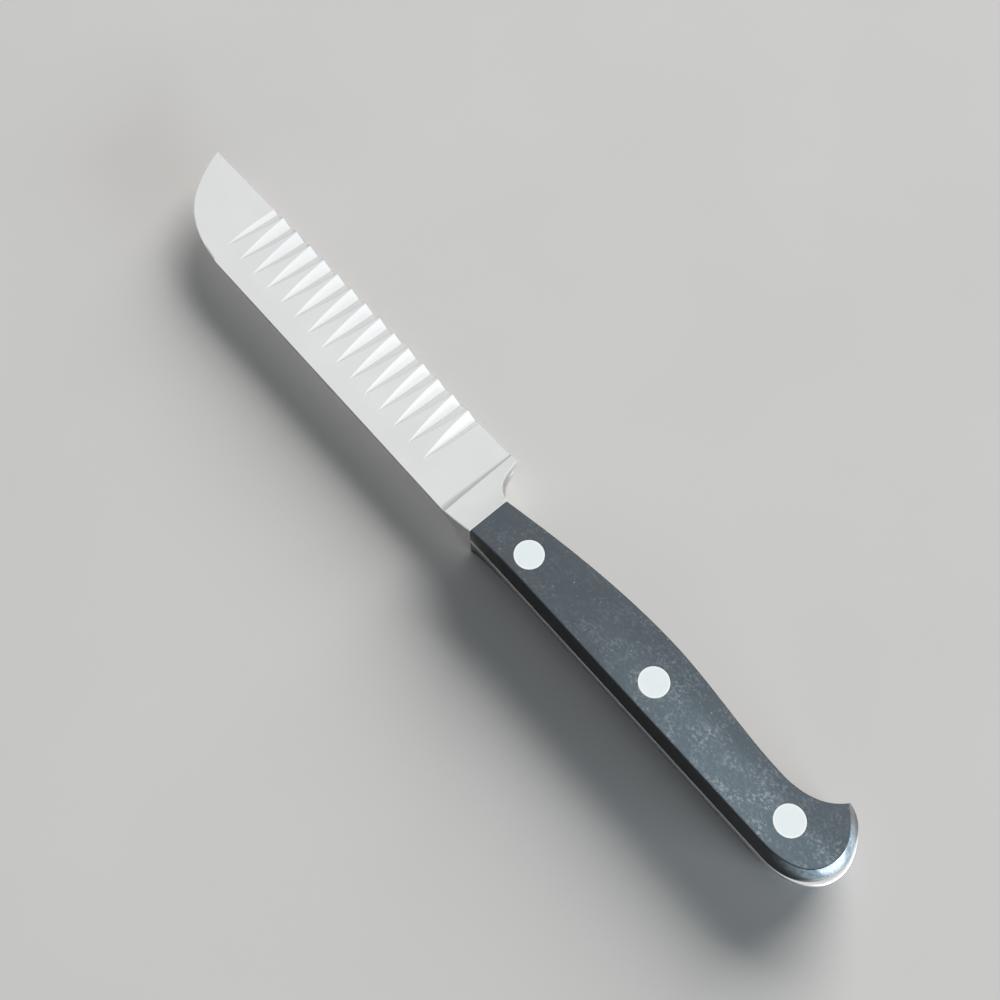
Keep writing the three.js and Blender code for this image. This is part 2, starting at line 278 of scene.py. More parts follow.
class Skin:
    """Points in drawing millimetres, a tone for each of them, and the faces between them."""

    def __init__(self):
        self.points = []
        self.tones = []
        self.faces = []

    def add(self, x, y, z, tone=PLAIN):
        self.points.append((x, y, z))
        self.tones.append(tone)
        return len(self.points) - 1

    def strip(self, first, second):
        """Faces between two rows with as many points each."""
        for n in range(len(first) - 1):
            self.faces.append((first[n], first[n + 1], second[n + 1], second[n]))

    def zip_rows(self, first, second):
        """Triangles between two rows that run along x with points of their own."""
        a, b = 0, 0
        while a < len(first) - 1 or b < len(second) - 1:
            first_done = a == len(first) - 1
            second_done = b == len(second) - 1
            if not first_done and (
                second_done or self.points[first[a + 1]][0] <= self.points[second[b + 1]][0]
            ):
                self.faces.append((first[a], first[a + 1], second[b]))
                a += 1
            else:
                self.faces.append((first[a], second[b + 1], second[b]))
                b += 1

    def fan(self, row, middle):
        for n in range(len(row) - 1):
            self.faces.append((row[n], row[n + 1], middle))

    def fill(self, loop, holes):
        """Flat face inside a loop of points, with round holes left open."""
        order = list(loop)
        for hole in holes:
            order += hole
        edges = []
        start = 0
        for ring in [loop, *holes]:
            count = len(ring)
            edges += [(start + n, start + (n + 1) % count) for n in range(count)]
            start += count
        flat = [Vector(self.points[n][:2]) for n in order]
        result = delaunay_2d_cdt(flat, edges, [], 1, FLAT_TOLERANCE)
        made, triangles, sources = result[0], result[2], result[3]
        discs = []
        for hole in holes:
            centre = sum((Vector(self.points[n][:2]) for n in hole), Vector((0, 0))) / len(hole)
            discs.append((centre, (Vector(self.points[hole[0]][:2]) - centre).length))
        for triangle in triangles:
            centre = sum((made[n] for n in triangle), Vector((0, 0))) / 3
            if all((centre - middle).length > radius * HOLE_SHARE for middle, radius in discs):
                self.faces.append(tuple(order[sources[n][0]] for n in triangle))

    def ring(self, centre, radius, z, tone=PLAIN):
        turns = [2 * math.pi * n / CIRCLE_STEPS for n in range(CIRCLE_STEPS)]
        return [
            self.add(centre.x + radius * math.cos(a), centre.y + radius * math.sin(a), z, tone)
            for a in turns
        ]

    def tube(self, first, second):
        self.strip(first + first[:1], second + second[:1])

    def build(self, name, material, nodes):
        """The object that shows these faces in place of its CAD nodes."""
        mesh = bpy.data.meshes.new(name)
        mesh.from_pydata([SEAM_PLACE + Vector(p) * MM for p in self.points], [], self.faces)
        tone = mesh.attributes.new("tone", "FLOAT", "POINT")
        tone.data.foreach_set("value", self.tones)
        work = bmesh.new()
        work.from_mesh(mesh)
        bmesh.ops.remove_doubles(work, verts=work.verts, dist=WELD_DISTANCE)
        bmesh.ops.dissolve_degenerate(work, edges=work.edges, dist=SLIVER_DISTANCE)
        bmesh.ops.recalc_face_normals(work, faces=work.faces)
        work.to_mesh(mesh)
        work.free()
        mesh.shade_smooth()
        mesh.set_sharp_from_angle(angle=CRISP_ANGLE)
        mesh.materials.append(material)
        piece = bpy.data.objects.new(name, mesh)
        bpy.context.scene.collection.objects.link(piece)
        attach(piece, "root")
        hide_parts(*nodes)
        return piece


# Ground faces of the blade: how deep they lie under the flat flank

def flute_depth(y):
    run = min(max(y / FLUTE_LENGTH, 0.0), 1.0)
    return FLUTE_DEPTH * (1 - run) * (1 + FLUTE_ARC * run)


def flat_grind(y):
    return GRIND_DEPTH * max(1 - y / FLUTE_LENGTH, 0.0)


def in_flutes(x, y, places):
    depth = flute_depth(y)
    return max(max(depth - FLUTE_STEEPNESS * abs(x - place), 0.0) for place in places)


def right_depth(x, y):
    fluted = in_flutes(x, y, RIGHT_FLUTES)
    if LAST_FLUTE < x < FIRST_FLUTE:
        return fluted
    return max(fluted, flat_grind(y))


def left_depth(x, y):
    fluted = in_flutes(x, y, LEFT_FLUTES)
    flanks = in_flutes(min(max(x, HEEL_RIDGE), TIP_RIDGE), y, [HEEL_RIDGE, TIP_RIDGE])
    return max(fluted, min(flanks, flat_grind(y)))


def nose(y):
    """Place and outward direction of the blade's outline at the nose, at a distance from the edge."""
    start = TIP_PLACE - NOSE_LENGTH
    corners = [
        (TIP_PLACE, 0),
        (TIP_PLACE - TIP_LEAN, TIP_RISE),
        (start + NOSE_FULLNESS, BLADE_WIDTH),
        (start, BLADE_WIDTH),
    ]
    share = share_at(corners, 1, y)
    before = bezier(corners, max(share - TANGENT_STEP, 0.0))
    along = bezier(corners, min(share + TANGENT_STEP, 1.0)) - before
    return bezier(corners, share), Vector((along.y, -along.x)).normalized()


def edge_place(x):
    """Where the edge runs in plan: at 0 by the tip, curving out to the heel."""
    share = max((x - BOLSTER_LENGTH) / (TIP_PLACE - BOLSTER_LENGTH), 0.0)
    return HEEL_DROP * (share**3 - 1)


def hone_place(x):
    """Where the honed bevel ends on the face."""
    return edge_place(x) + HONE * smooth((x - BOLSTER_LENGTH) / HONE_START)


def crease_start(y):
    return mix(*CREASE_START, y / BLADE_WIDTH)


def crease_end(y):
    return crease_start(y) + mix(*CREASE_WIDTH, y / BLADE_WIDTH)


def ramp_height(x, y):
    run = x / BOLSTER_LENGTH
    end = HALF_BLADE - flat_grind(y) + CREASE_STEP
    return (1 - run) ** 2 * HALF_HANDLE + 2 * run * (1 - run) * RAMP_HOLD + run**2 * end


def bolster_columns(y):
    """Places along x from the seam to the end of the crease."""
    start = crease_start(y)
    lip = start - CREASE_LIP
    ramp = [0.0] + spread(SEAM_CHAMFER, lip, RAMP_COLUMNS - 1) + [lip]
    return ramp + spread(start, crease_end(y), CREASE_COLUMNS)


def bolster_height(x, y):
    if x <= 0:
        return HALF_HANDLE - SEAM_CHAMFER
    start, end = crease_start(y), crease_end(y)
    if x <= start:
        return ramp_height(x, y)
    share = min((x - start) / (end - start), 1.0)
    return mix(HALF_BLADE - flat_grind(y), ramp_height(start, y), (1 - share) ** 2)


def crease_tone(x, y):
    """Darker in the crease: most where its hollow starts, none where it ends."""
    start, end = crease_start(y), crease_end(y)
    if x < start - CREASE_LIP / 2:
        return PLAIN
    share = min(max((x - start) / (end - start), 0.0), 1.0)
    return CREASE_DARKENING * (1 - share**2)


def valley_columns(place, before, after):
    """Places along x across one flute, with one close to its valley on either side."""
    near, far = min(VALLEY_LINE, before / 2), min(VALLEY_LINE, after / 2)
    return [place - before, place - near, place, place + far, place + after]


def fluted_columns(y, right):
    """Places along x of the flutes' edges and valleys, and of the middles of the lands."""
    depth = flute_depth(y)
    half = depth / FLUTE_STEEPNESS
    outer = max(depth - flat_grind(y), 0.0) / FLUTE_STEEPNESS
    columns = []
    if right:
        for place in RIGHT_FLUTES:
            before = outer if place == LAST_FLUTE else half
            after = outer if place == FIRST_FLUTE else half
            columns += valley_columns(place, before, after) + [place + FLUTE_PITCH / 2]
        return columns[:-1]
    columns += [HEEL_RIDGE + outer, HEEL_RIDGE + half, LAST_FLUTE]
    for place in LEFT_FLUTES:
        columns += valley_columns(place, half, half) + [place + FLUTE_PITCH / 2]
    return columns + [TIP_RIDGE - half, TIP_RIDGE - outer]


def blade_columns(y, right):
    """Places along x from the end of the crease to the nose."""
    start = crease_end(y)
    level = min(y, FLUTE_LENGTH)
    fluted = fluted_columns(level, right)
    end = nose(level)[0].x
    columns = spread(start, fluted[0], FLAT_COLUMNS) + fluted
    columns += spread(fluted[-1], end, FLAT_COLUMNS)[1:] + [end]
    squeeze = (nose(y)[0].x - start) / (end - start)
    return [start + (x - start) * squeeze for x in columns]


def valley_tone(x, depth, places):
    """Painted shade as a dull line along each valley, with a painted highlight on the flank beside it on
    the side of the heel.
    """
    offset = min((x - place for place in places), key=abs)
    fade = min(depth / VALLEY_FADE, 1.0)
    if abs(offset) < SAME_PLACE:
        return VALLEY_SHADE * fade
    beside = -VALLEY_LINE - SAME_PLACE < offset < 0
    return PAINTED_HIGHLIGHT * FLANK_HIGHLIGHT * fade if beside else PLAIN


# Bolster in plan at a height above the middle of the steel

def wall_level(z):
    share = (abs(z) - HALF_TANG) / (HALF_HANDLE - HALF_TANG)
    return min(max(share, 0.0), 1.0) ** GUARD_FLARE


def guard_place(x, z):
    """Where the finger guard's wall stands across the blade."""
    level = wall_level(z)
    neck = under_spine(NECK_HEIGHT) + level * NECK_TUCK
    heel = Vector((HEEL_CORNER, -HEEL_DROP)) + level * HEEL_TUCK
    if x >= heel.x:
        return heel.y
    meet = Vector((GUARD_MEET.x, neck - GUARD_MEET.y))
    meet += level * Vector((GUARD_MEET_TUCK.x, -GUARD_MEET_TUCK.y))
    leave = heel + Vector((-GUARD_LEAVE.x, GUARD_LEAVE.y))
    leave += level * Vector((-GUARD_LEAVE_TUCK.x, GUARD_LEAVE_TUCK.y))
    corners = [(0, neck), meet, leave, heel]
    return bezier(corners, share_at(corners, 0, x)).y


def low_side(x):
    """Edge side of the ground face: across the blade and up, and the rounding there."""
    place = 0.0
    for _ in range(SETTLE_ROUNDS):
        height = bolster_height(x, place)
        place = guard_place(x, height)
    return place, height, min(GUARD_ROUND, height * GUARD_ROUND_SHARE)


def forged_rows():
    rows = [mix(HONE, FLUTE_LENGTH, n / FLUTE_ROWS) for n in range(FLUTE_ROWS)]
    top = BLADE_WIDTH - SPINE_CHAMFER
    return rows + [mix(FLUTE_LENGTH, top, n / UPPER_ROWS) for n in range(UPPER_ROWS + 1)]


def forged_face(skin, right):
    """One ground face from the seam to the nose, as rows of points from the edge to the spine."""
    side = 1 if right else -1
    depth_at = right_depth if right else left_depth
    places = RIGHT_FLUTES if right else LEFT_FLUTES
    rows = forged_rows()
    face = []
    for y in rows:
        share = (y - rows[0]) / (rows[-1] - rows[0])
        row = []
        for x in bolster_columns(y):
            place, _, rounding = low_side(x)
            if x > BOLSTER_LENGTH:
                place, rounding = hone_place(x), 0.0
            across = mix(place + rounding, rows[-1], share)
            # painted highlight along the seam's edge; elsewhere the crease is darker
            tone = PAINTED_HIGHLIGHT if x == 0 else crease_tone(x, across)
            row.append(skin.add(x, across, side * bolster_height(x, across), tone))
        columns = blade_columns(y, right)
        for x in columns[:-1]:
            across = mix(hone_place(x), rows[-1], share)
            depth = depth_at(x, across)
            row.append(skin.add(x, across, side * (HALF_BLADE - depth), valley_tone(x, depth, places)))
        outline, outward = nose(y)
        inset = outline - outward * SPINE_CHAMFER
        height = HALF_BLADE - flat_grind(y)
        row.append(skin.add(inset.x, min(inset.y, rows[-1]), side * height))
        face.append(row)
    for lower, upper in zip(face, face[1:]):
        skin.strip(lower, upper)
    return face


def forged_rim(skin, face, right):
    """Edge of the spine's and the nose's wall beside one face, from the seam to the tip, with a painted
    highlight along it.
    """
    side = 1 if right else -1
    spine = []
    for n in face[-1][:-1]:
        x, _, z = skin.points[n]
        spine.append(skin.add(x, BLADE_WIDTH, z - side * SPINE_CHAMFER, PAINTED_HIGHLIGHT))
    rim = []
    for y, row in zip(reversed(forged_rows()), reversed(face)):
        outline, _ = nose(y)
        z = skin.points[row[-1]][2]
        chamfer = min(SPINE_CHAMFER, abs(z) * RIM_CHAMFER)
        rim.append(skin.add(outline.x, outline.y, z - side * chamfer, PAINTED_HIGHLIGHT))
    skin.strip(face[-1], spine + rim[:1])
    skin.strip([row[-1] for row in reversed(face)], rim)
    return spine + rim[:1], rim


def rim_wall(skin, right_rim, left_rim, faces):
    """Wall of the spine or the nose between the painted highlights along its rims, as two rows just
    inside them that carry painted shade.
    """
    inner = []
    for rim in (right_rim, left_rim):
        row = []
        for n in rim:
            x, y, z = skin.points[n]
            row.append(skin.add(x, y, z * (1 - HIGHLIGHT_RIM_SHARE), SPINE_WALL_SHADE))
        inner.append(row)
    faces(right_rim, inner[0])
    faces(*inner)
    faces(inner[1], left_rim)
    return inner


def guard_tone(z):
    """Painted shade on the finger guard's leaning walls, and a painted highlight on the upright band
    between them.
    """
    return GUARD_WALL_SHADE if abs(z) > HALF_TANG else PAINTED_HIGHLIGHT


def guard_wall(skin, right_face, left_face):
    """Wall of the finger guard and the heel, as columns from the right face to the left one."""
    columns = []
    middle = RAMP_COLUMNS + 1 + CREASE_COLUMNS // 2
    # painted highlight on the guard's rounded top, then painted shade where its leaning wall starts
    rim = [PAINTED_HIGHLIGHT] * CORNER_STEPS + [GUARD_WALL_SHADE]
    for n in range(middle + 1):
        x = skin.points[right_face[0][n]][0]
        place, height, rounding = low_side(x)
        foot = height - rounding
        corner = [(place + rounding, height), (place, height), (guard_place(x, foot), foot)]
        upper = curve(corner, CORNER_STEPS)
        wall = [mix(foot, -foot, (k + 1) / WALL_ROWS) for k in range(WALL_ROWS - 1)]
        column = [right_face[0][n]]
        column += [skin.add(x, p.x, p.y, tone) for p, tone in zip(upper, rim)]
        column += [skin.add(x, guard_place(x, z), z, guard_tone(z)) for z in wall]
        column += [skin.add(x, p.x, -p.y, tone) for p, tone in zip(reversed(upper), reversed(rim))]
        columns.append(column + [left_face[0][n]])
    for before, after in zip(columns, columns[1:]):
        skin.strip(before, after)
    return columns


def honed_edge(skin, right_face, left_face, wall):
    """The bevels that meet in the cutting edge, from the heel to the tip."""
    start = len(wall) - 1
    right_row, left_row = right_face[0][start:], left_face[0][start:]
    places = {round(skin.points[n][0], PLACE_DIGITS) for n in right_row[1:] + left_row[1:]}
    edge = []
    for x in sorted(places):
        middle = (left_depth(x, 0) - right_depth(x, 0)) / 2
        # painted highlight along the honed edge by the tip and heel flats
        tone = PLAIN if LAST_FLUTE < x < FIRST_FLUTE else PAINTED_HIGHLIGHT
        edge.append(skin.add(x, edge_place(x), middle, tone))
    edge.append(skin.add(TIP_PLACE, 0, 0, PAINTED_HIGHLIGHT))
    skin.zip_rows(right_row, edge)
    skin.zip_rows(left_row, edge)
    skin.fan(wall[-1], edge[0])
    return edge[-1]


def tang(skin):
    """Full tang behind the bolster, drilled for the rivets and rounded where it shows at the butt, with
    painted shade on its edge.
    """
    rail = handle_rail(0, 0)
    inward = inward_directions(rail)
    rounds = [mix(TANG_ROUND, TANG_BUTT_ROUND, butt_share(n)) for n in range(len(rail))]
    side = []
    for n in range(CORNER_STEPS + 1):
        turn = math.pi / 2 * n / CORNER_STEPS
        side.append([
            (p + d * r * (1 - math.sin(turn)), HALF_TANG - r * (1 - math.cos(turn)))
            for p, d, r in zip(rail, inward, rounds)
        ])
    flat = [(p + d * (r + FLAT_MARGIN), HALF_TANG) for p, d, r in zip(rail, inward, rounds)]
    upper = [flat] + side
    tones = [mix(TANG_EDGE_SHADE, BUTT_RIM_SHADE, butt_share(n)) for n in range(len(rail))]
    rows = [[skin.add(*p, z, tone) for (p, z), tone in zip(row, tones)] for row in upper]
    rows += [[skin.add(*p, -z, tone) for (p, z), tone in zip(row, tones)] for row in reversed(upper)]
    shank = TUBE_DIAMETER / 2 + TUBE_CLEARANCE
    slab(skin, rows, [(shank, HALF_TANG), (shank, -HALF_TANG)])


def forged_blade(material):
    skin = Skin()
    right = forged_face(skin, True)
    left = forged_face(skin, False)
    right_spine, right_nose = forged_rim(skin, right, True)
    left_spine, left_nose = forged_rim(skin, left, False)
    spine = rim_wall(skin, right_spine, left_spine, skin.zip_rows)
    nose_wall = rim_wall(skin, right_nose, left_nose, skin.strip)
    wall = guard_wall(skin, right, left)
    tip = honed_edge(skin, right, left, wall)
    inner_tip = [row[-1] for row in nose_wall]
    skin.fan([right[0][-1], right_nose[-1], *inner_tip, left_nose[-1], left[0][-1]], tip)
    seam = [row[0] for row in right] + [right_spine[0], spine[0][0], spine[1][0], left_spine[0]]
    seam += [row[0] for row in reversed(left)] + wall[0][-2:0:-1]
    skin.faces.append(tuple(seam))
    tang(skin)
    return skin.build("blade_bolster_and_tang", material, ["forged_blade"])


# Handle

def handle_rail(level, butt_in):
    """Outline of the handle from the seam's spine corner round the butt to its belly corner. Level 0
    is at the tang, level 1 at a scale's outer face."""
    spine = BLADE_WIDTH - level * SPINE_TUCK
    seam_spine = BLADE_WIDTH - level * SEAM_TUCK
    round_x = ahead_of_butt(BUTT_ROUND) + level * CORNER_TUCK
    butt = ahead_of_butt(butt_in)
    crown = under_spine(BUTT_CROWN)
    beak = Vector((ahead_of_butt(BEAK_SETBACK), -BEAK_DROP)) + level * BEAK_TUCK
    waist = Vector((ahead_of_butt(WAIST_SETBACK), under_spine(WAIST_HEIGHT) + level * WAIST_TUCK))
    swell_x = SWELL_AHEAD - (FIRST_RIVET + LAST_RIVET) / 2
    swell = Vector((swell_x, under_spine(SWELL_HEIGHT) + level * SWELL_TUCK))
    neck = under_spine(NECK_HEIGHT) + level * NECK_TUCK
    hook_hold = Vector(((waist.x - beak.x) / 2, 0))
    waist_hold = Vector(((swell.x - waist.x) / 3, 0))
    back = BEAK_BACK + level * BEAK_BACK_TUCK
    back = beak + Vector((-back.x, back.y))

    shoulder = (-SHOULDER_LENGTH, spine)
    rail = [Vector((0, seam_spine))]
    rail += curve([rail[0], (-SHOULDER_LENGTH / 2, spine), shoulder], CURVE_STEPS)
    rail += curve([shoulder, (round_x, spine)], CURVE_STEPS)
    corner = [(round_x, spine), ((round_x + butt) / 2, spine), (butt, crown + BUTT_HOLD), (butt, crown)]
    rail += curve(corner, CURVE_STEPS)
    rail += curve([(butt, crown), (butt, crown - BUTT_DROP), back, beak], CURVE_STEPS)
    rail += curve([beak, beak + BEAK_HOOK, waist - hook_hold, waist], CURVE_STEPS)
    rail += curve([waist, waist + waist_hold, swell - waist_hold, swell], CURVE_STEPS)
    slope = (-NECK_SLOPE.x, neck - NECK_SLOPE.y)
    rail += curve([swell, (swell.x + SWELL_HOLD, swell.y), slope, (0, neck)], CURVE_STEPS)
    return rail


def inward_directions(rail):
    """Unit directions into the handle along its outline, straight across it at the seam."""
    directions = [Vector((0, -1))]
    for before, after in zip(rail, rail[2:]):
        along = after - before
        directions.append(Vector((-along.y, along.x)).normalized())
    return directions + [Vector((0, 1))]


def butt_share(step):
    """0 along the grip and at the beak, 1 round the butt, by the step along the outline."""
    run = step / CURVE_STEPS
    start, end = BUTT_STRETCHES
    return smooth((run - start) * BUTT_ONSET) * smooth((end - run) * BUTT_ONSET)


def edge_round(step, x):
    """How far the scale's outer edge is rounded, by the stretch of the outline and the place along it."""
    spine = mix(SHOULDER_ROUND, SPINE_ROUND, smooth(-x / SHOULDER_LENGTH))
    run = step / CURVE_STEPS
    start, end = BUTT_STRETCHES
    if run <= start:
        return spine
    if run <= end:
        return mix(spine, BUTT_EDGE_ROUND, smooth(run - start))
    hook = smooth((x - ahead_of_butt(BEAK_SETBACK)) / (WAIST_SETBACK - BEAK_SETBACK))
    belly = mix(NECK_ROUND, BELLY_ROUND, smooth(-x / NECK_RUN))
    return mix(BUTT_EDGE_ROUND, belly, hook)


def rivet_places():
    places = []
    for n in range(RIVET_COUNT):
        drop = mix(FRONT_RIVET_DROP, REAR_RIVET_DROP, n / (RIVET_COUNT - 1))
        places.append(Vector((-FIRST_RIVET - n * RIVET_SPACING, under_spine(drop))))
    return places


def slab(skin, rows, steps):
    """Closed plate from rows that run round the handle, with holes of stepped width at the rivets."""
    for first, second in zip(rows, rows[1:]):
        skin.strip(first, second)
    skin.faces.append(tuple([row[0] for row in rows] + [row[-1] for row in reversed(rows)]))
    starts, ends = [], []
    for place in rivet_places():
        rings = [skin.ring(place, *step) for step in steps]
        for first, second in zip(rings, rings[1:]):
            skin.tube(first, second)
        starts.append(rings[0])
        ends.append(rings[-1])
    skin.fill(rows[0], starts)
    skin.fill(rows[-1], ends)


def scale(name, material, side, nodes):
    """One handle scale: leaning walls, a rounded outer edge and a flat outer face."""
    skin = Skin()
    foot = handle_rail(0, BUTT_REVEAL)
    wall = handle_rail(BUTT_WALL, BUTT_REVEAL)
    face = handle_rail(1, BUTT_TUCK)
    inward = inward_directions(face)
    rows = [[(p + d * SCALE_FOOT, HALF_TANG, PLAIN) for p, d in zip(foot, inward)]]
    rounds = [edge_round(n, p.x) for n, p in enumerate(face)]
    for k in range(WALL_ROWS + 1):
        row = []
        for n in range(len(face)):
            low, high = HALF_TANG + SCALE_FOOT, HALF_HANDLE - rounds[n]
            z = mix(low, high, k / WALL_ROWS)
            level = (z - HALF_TANG) / (HALF_HANDLE - HALF_TANG)
            bevel = max(level - BUTT_WALL, 0.0) / (1 - BUTT_WALL)
            if bevel == 0:
                rise = level / BUTT_WALL
                # painted reflection that pales the wall towards the bevel round the butt
                tone = PAINTED_HIGHLIGHT * butt_share(n) * rise**BUTT_FADE
                row.append((foot[n].lerp(wall[n], rise), z, tone))
                continue
            lean = mix(bevel, bevel**BUTT_CURVE, butt_share(n))
            # painted reflection over the scuffs on the butt's bevel
            row.append((wall[n].lerp(face[n], lean), z, PAINTED_HIGHLIGHT * butt_share(n)))
        rows.append(row)
    for k in range(1, CORNER_STEPS + 1):
        share = k / CORNER_STEPS
        row = []
        for n in range(len(face)):
            low, z, _ = rows[WALL_ROWS + 1][n]
            inner = face[n] + inward[n] * rounds[n]
            corners = [(*low, z), (*face[n], HALF_HANDLE), (*inner, HALF_HANDLE)]
            point = bezier(corners, share)
            row.append((point.xy, point.z, OUTER_FACE * share**2))
        rows.append(row)
    rows.append([(p + d * FLAT_MARGIN, z, OUTER_FACE) for (p, z, _), d in zip(rows[-1], inward)])
    made = [[skin.add(min(p.x, -SEAM_GAP), p.y, side * z, tone) for p, z, tone in row] for row in rows]
    head = RIVET_HEAD / 2 + HEAD_CLEARANCE
    shank = TUBE_DIAMETER / 2 + TUBE_CLEARANCE
    steps = [(shank, HALF_TANG, PLAIN), (shank, HEAD_SEAT, PLAIN)]
    steps += [(head, HEAD_SEAT, PLAIN), (head, HALF_HANDLE, OUTER_FACE)]
    slab(skin, made, [(radius, side * z, tone) for radius, z, tone in steps])
    return skin.build(name, material, nodes)


# Rivets

def turned(name, material, nodes, place, side, profile):
    """Lathe-turned piece at a rivet's place. The profile runs from axis to axis as radius and height."""
    skin = Skin()
    rings = [skin.ring(place, radius, side * z, tone) for radius, z, tone in profile]
    for first, second in zip(rings, rings[1:]):
        skin.tube(first, second)
    for ring in (rings[0], rings[-1]):
        skin.faces.append(tuple(ring))
    return skin.build(name, material, nodes)


def rivet_head():
    """Outer face of a rivet's head, from near its middle over the rounded rim to the seat."""
    rim = RIVET_HEAD / 2
    corner = [(rim - RIVET_ROUND, HALF_HANDLE), (rim, HALF_HANDLE), (rim, HALF_HANDLE - RIVET_ROUND)]
    # tone 1 paints a highlight ring from here over the rounded rim
    flat = [(rim - RIVET_RING - FLAT_MARGIN, HALF_HANDLE, 0), (rim - RIVET_RING, HALF_HANDLE, 1)]
    flat.append((*corner[0], 1))
    return flat + [(*p, 1) for p in curve(corner, CORNER_STEPS)] + [(rim, HEAD_SEAT, 0)]


def rivets(material):
    bore = PIN_DIAMETER / 2 + PIN_CLEARANCE
    tube = TUBE_DIAMETER / 2
    pin = PIN_DIAMETER / 2
    tube_end = END_CLEARANCE - HEAD_SEAT
    pin_end = BORE_FLOOR + END_CLEARANCE - HALF_HANDLE
    floor = HALF_HANDLE - BORE_FLOOR
    for word, place in zip(("front", "middle", "rear"), rivet_places()):
        shank = [(tube, HEAD_SEAT, 0), (tube, tube_end, 0), (bore, tube_end, 0), (bore, floor, 0)]
        profile = rivet_head() + shank
        turned(f"{word}_rivet_head_and_tube", material, [f"{word}_rivet_tube"], place, 1, profile)
        profile = rivet_head() + [(pin, HEAD_SEAT, 0), (pin, pin_end, 0)]
        turned(f"{word}_rivet_head_and_pin", material, [f"{word}_rivet_pin"], place, -1, profile)


# Materials: noise by the size of its features in mm along X, Y and Z, and ranges of noise that are used

CLOUD_RANGE = (0.3, 0.7)
LINE_RANGE = (0.25, 0.75)

GRIND_LINES = (0.16, 9.0, 9.0)
STEEL_CLOUDS = (14.0, 9.0, 9.0)
STEEL_COLOURS = ((0.795, 0.80, 0.80), (0.83, 0.84, 0.835))
STEEL_ROUGHNESS = (0.26, 0.36)
STEEL_RELIEF = {"strength": 0.12, "distance": 0.01}
# Colour of the steel's painted shade on walls, valleys and tang, and of its darker crease
SHADE_AND_CREASE_COLOUR = (0.30, 0.285, 0.27)
SHADE_AND_CREASE_SHARE = 0.6
# Near-white colour of the steel's painted highlights
PAINTED_HIGHLIGHT_COLOUR = (0.97, 0.96, 0.945)

REAR_STRETCH = (-20.0, -75.0)  # along the handle, where the face starts to get lighter and more worn
BUTT_STRETCH = (-78.0, -92.0)  # along the handle, where that falls off
BUTT_WEAR = (1.0, 0.8)
WORN_BAND = (7.0, 12.5)  # across the handle, from the belly to the spine
WORN_BAND_WEAR = (0.25, 1.0)
HAZE_CLOUDS = (8.0, 6.0, 6.0)
HAZE_CLOUD_SHARE = 0.5
HAZE_RANGE = (0.2, 1.3)
HAZE_COLOURS = ((0.070, 0.086, 0.100), (0.135, 0.175, 0.206))
RUB_GRAIN = (0.75, 0.6, 0.6)
RUB_GRAIN_RANGE = (0.48, 0.66)
RUB_PATCHES = (5.0, 4.0, 4.0)
RUB_PATCH_RANGE = (0.4, 0.62)
RUB_PATCH_SHARE = (0.15, 1)
RUB_SHARE = (0.16, 0.95)  # where there is no wear, and where there is most
RUB_COLOUR = (0.44, 0.50, 0.53)
SPECKS = (0.55, 0.55, 0.55)
SPECK_RANGE = (0.74, 0.80)
SPECK_SHARE = (0, 0.6)
SPECK_COLOUR = (0.50, 0.55, 0.57)
SCUFFS = (0.9, 0.9, 0.9)
SCUFF_RANGE = (0.34, 0.6)
# pale blue painted reflection, mottled by the scuffs on the butt's bevel
BEVEL_REFLECTION_AND_SCUFF_COLOURS = ((0.17, 0.22, 0.26), (0.37, 0.46, 0.53))
WALL_COLOUR = (0.006, 0.006, 0.006)
PLASTIC_ROUGHNESS = (0.2, 0.44)  # on the walls and on the outer face
PLASTIC_GRAIN = (0.25, 0.25, 0.25)
PLASTIC_RELIEF = {"strength": 0.15, "distance": 0.02}

RIVET_SCRATCHES = (3.5, 0.09, 3.5)
RIVET_CLOUDS = (2.0, 2.0, 2.0)
RIVET_COLOURS = ((0.85, 0.925, 0.925), (0.88, 0.95, 0.95))
RIVET_HIGHLIGHT_COLOUR = (0.98, 0.99, 0.99)
RIVET_ROUGHNESS = (0.26, 0.38)
RIVET_RELIEF = {"strength": 0.1, "distance": 0.008}

FLOOR_CLOUDS = (60.0, 60.0, 60.0)
FLOOR_COLOURS = ((0.66, 0.65, 0.64), (0.68, 0.67, 0.66))
FLOOR_ROUGHNESS = 0.9


